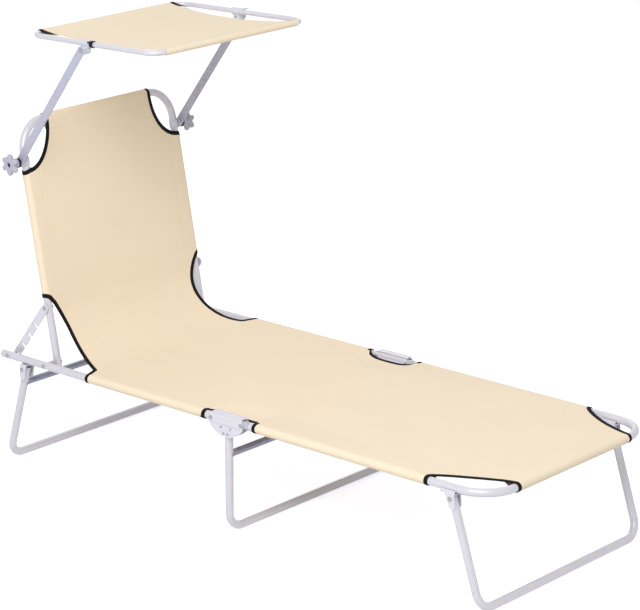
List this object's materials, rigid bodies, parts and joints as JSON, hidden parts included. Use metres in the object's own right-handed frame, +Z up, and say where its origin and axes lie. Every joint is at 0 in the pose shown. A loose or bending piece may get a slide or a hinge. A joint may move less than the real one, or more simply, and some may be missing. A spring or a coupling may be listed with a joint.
{
  "type": "sun lounger with canopy",
  "caption": "Folding tubular steel sun lounger with fabric slings, a reclining back on notched struts, fold-under legs and a tilting canopy on flat arms.",
  "frame": {"origin": "on the floor under the middle of the lounger's length and width", "axes": "+X across to the lounger's right as seen from the foot end, +Y towards the head end, +Z up"},
  "size_m": [0.5892, 1.4336, 1.0314],
  "materials": {
    "frame_paint": "silver-grey powder coat, satin",
    "bracket_plate": "zinc plated pressed steel, satin",
    "rivet_steel": "plain rivet steel",
    "grey_plastic": "moulded grey plastic, satin",
    "clip_plastic": "moulded pale plastic, satin",
    "black_plastic": "moulded black plastic, satin",
    "sling_fabric": "cream open-weave coated mesh fabric",
    "binding": "black woven binding tape"
  },
  "bodies": {
    "seat_frame": {"seat_rail_left": "frame_paint", "seat_rail_right": "frame_paint", "rail_cap_left": "grey_plastic", "rail_cap_right": "grey_plastic", "rear_leg_bracket_left": "bracket_plate", "rear_leg_bracket_right": "bracket_plate", "rear_leg_pin_left": "rivet_steel", "rear_leg_pin_right": "rivet_steel", "ratchet_pin_left": "rivet_steel", "ratchet_pin_right": "rivet_steel", "backrest_pivot_pin_left": "rivet_steel", "backrest_pivot_pin_right": "rivet_steel", "backrest_bush_left": "grey_plastic", "backrest_bush_right": "grey_plastic", "seat_sling": "sling_fabric"},
    "rear_leg": {"rear_leg": "frame_paint", "rear_leg_crossbar": "frame_paint"},
    "mid_support": {"mid_leg": "frame_paint", "mid_leg_crossbar": "frame_paint", "hinge_shell_left": "bracket_plate", "hinge_shell_right": "bracket_plate", "seat_hinge_pin_left": "rivet_steel", "seat_hinge_pin_right": "rivet_steel", "foot_hinge_pin_left": "rivet_steel", "foot_hinge_pin_right": "rivet_steel"},
    "foot_section": {"foot_frame": "frame_paint", "foot_leg_bracket_left": "bracket_plate", "foot_leg_bracket_right": "bracket_plate", "foot_leg_pin_left": "rivet_steel", "foot_leg_pin_right": "rivet_steel", "foot_sling": "sling_fabric"},
    "foot_leg": {"foot_leg": "frame_paint"},
    "backrest": {"backrest_frame": "frame_paint", "back_sling": "sling_fabric", "bend_sling": "sling_fabric", "strut_pin_left": "rivet_steel", "strut_pin_right": "rivet_steel", "arm_clamp_left": "grey_plastic", "arm_clamp_right": "grey_plastic", "arm_bolt_left": "rivet_steel", "arm_bolt_right": "rivet_steel"},
    "strut_left": {"ratchet_strut_left": "bracket_plate"},
    "strut_right": {"ratchet_strut_right": "bracket_plate"},
    "knob_left": {"knob_left": "grey_plastic"},
    "knob_right": {"knob_right": "grey_plastic"},
    "canopy_arms": {"canopy_arm_left": "frame_paint", "canopy_arm_right": "frame_paint", "arm_washer_left": "black_plastic", "arm_washer_right": "black_plastic"},
    "canopy": {"canopy_frame_front": "frame_paint", "canopy_frame_rear": "frame_paint", "canopy_clip_left": "clip_plastic", "canopy_clip_right": "clip_plastic", "canopy_clip_pin_left": "rivet_steel", "canopy_clip_pin_right": "rivet_steel", "canopy_lock_left": "black_plastic", "canopy_lock_right": "black_plastic", "canopy_sling": "sling_fabric"}
  },
  "joints": [
    {"name": "seat_hinge", "type": "hinge", "parent": "seat_frame", "child": "mid_support", "pos_m": [0, 0.04868, 0.25915], "axis": [1, 0, 0], "range_deg": [0, 90]},
    {"name": "foot_hinge", "type": "hinge", "parent": "mid_support", "child": "foot_section", "pos_m": [0, -0.03932, 0.25915], "axis": [1, 0, 0], "range_deg": [0, 90]},
    {"name": "rear_leg_fold", "type": "hinge", "parent": "seat_frame", "child": "rear_leg", "pos_m": [0, 0.64268, 0.23664], "axis": [-1, 0, 0], "range_deg": [0, 105.9]},
    {"name": "foot_leg_fold", "type": "hinge", "parent": "foot_section", "child": "foot_leg", "pos_m": [0, -0.61132, 0.23664], "axis": [1, 0, 0], "range_deg": [0, 108]},
    {"name": "backrest_recline", "type": "hinge", "parent": "seat_frame", "child": "backrest", "pos_m": [0, 0.57268, 0.25915], "axis": [1, 0, 0], "range_deg": [-79, 60], "deforming": ["bend_sling"]},
    {"name": "strut_left_swing", "type": "hinge", "parent": "backrest", "child": "strut_left", "pos_m": [0, 0.59722, 0.38538], "axis": [1, 0, 0], "range_deg": [-40, 50]},
    {"name": "strut_right_swing", "type": "hinge", "parent": "backrest", "child": "strut_right", "pos_m": [0, 0.59722, 0.38538], "axis": [1, 0, 0], "range_deg": [-40, 50]},
    {"name": "canopy_arm_swing", "type": "hinge", "parent": "backrest", "child": "canopy_arms", "pos_m": [0, 0.66198, 0.71855], "axis": [-1, 0, 0], "range_deg": [-35, 100]},
    {"name": "canopy_tilt", "type": "hinge", "parent": "canopy_arms", "child": "canopy", "pos_m": [0, 0.45331, 1.00575], "axis": [1, 0, 0], "range_deg": [-75, 75]},
    {"name": "knob_left_turn", "type": "hinge", "parent": "backrest", "child": "knob_left", "pos_m": [0, 0.66198, 0.71855], "axis": [1, 0, 0], "continuous": true},
    {"name": "knob_right_turn", "type": "hinge", "parent": "backrest", "child": "knob_right", "pos_m": [0, 0.66198, 0.71855], "axis": [1, 0, 0], "continuous": true}
  ],
  "couplings": [
    {"joint": "strut_left_swing", "follows": "backrest_recline", "ratio": -0.53},
    {"joint": "strut_right_swing", "follows": "backrest_recline", "ratio": -0.53}
  ]
}
